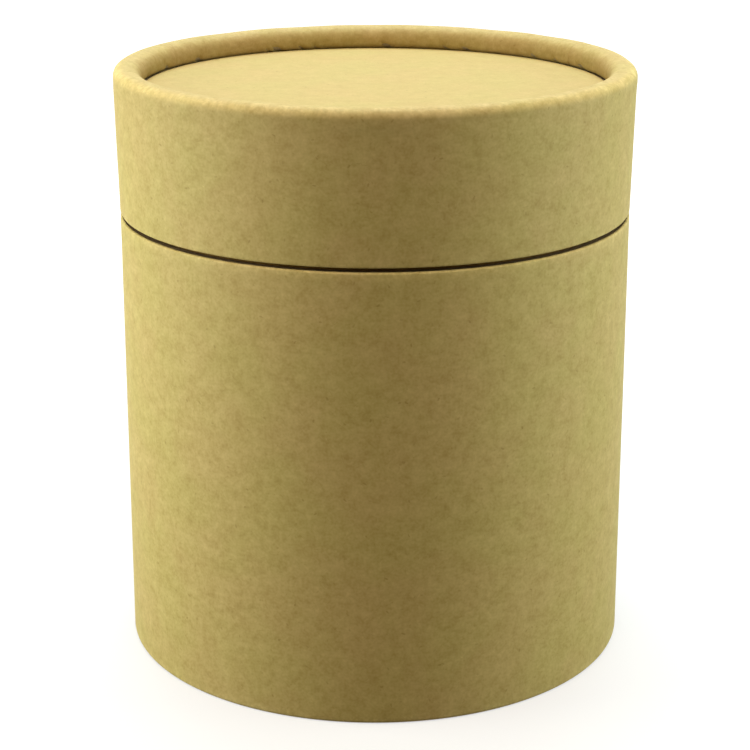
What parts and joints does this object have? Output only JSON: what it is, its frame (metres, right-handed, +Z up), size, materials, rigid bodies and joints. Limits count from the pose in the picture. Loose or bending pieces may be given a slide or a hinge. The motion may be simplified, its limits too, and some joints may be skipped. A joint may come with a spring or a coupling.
{
  "type": "cylindrical gift tube box",
  "caption": "Round kraft paper gift tube with a deep base, an inner neck and a lift-off lid with a rolled rim and a recessed top disc.",
  "frame": {"origin": "centre of the ring that the box stands on", "axes": "+Z up along the axis of the tube, from the foot to the lid; the glued overlap of the base's paper faces +Y, at the back"},
  "size_m": [0.093, 0.093, 0.1067],
  "materials": {
    "kraft_wrap": "matte unbleached kraft paper with fine fibres",
    "kraft_lining": "plain matte kraft paper",
    "board": "wound grey-brown board, raw cut edges"
  },
  "bodies": {
    "base": {"base_tube": "board", "base_wrap": "kraft_wrap", "base_disc": "board", "base_disc_facing": "kraft_wrap", "base_floor_lining": "kraft_lining", "neck_tube": "board", "neck_wrap": "kraft_wrap", "neck_liner": "kraft_lining"},
    "lid": {"lid_tube": "board", "lid_wrap": "kraft_wrap", "lid_liner": "kraft_lining", "lid_disc": "board", "lid_disc_facing": "kraft_wrap", "lid_disc_lining": "kraft_lining"}
  },
  "joints": [
    {"name": "lid_lift", "type": "slide", "parent": "base", "child": "lid", "axis": [0, 0, 1], "range_m": [0, 0.05]}
  ]
}
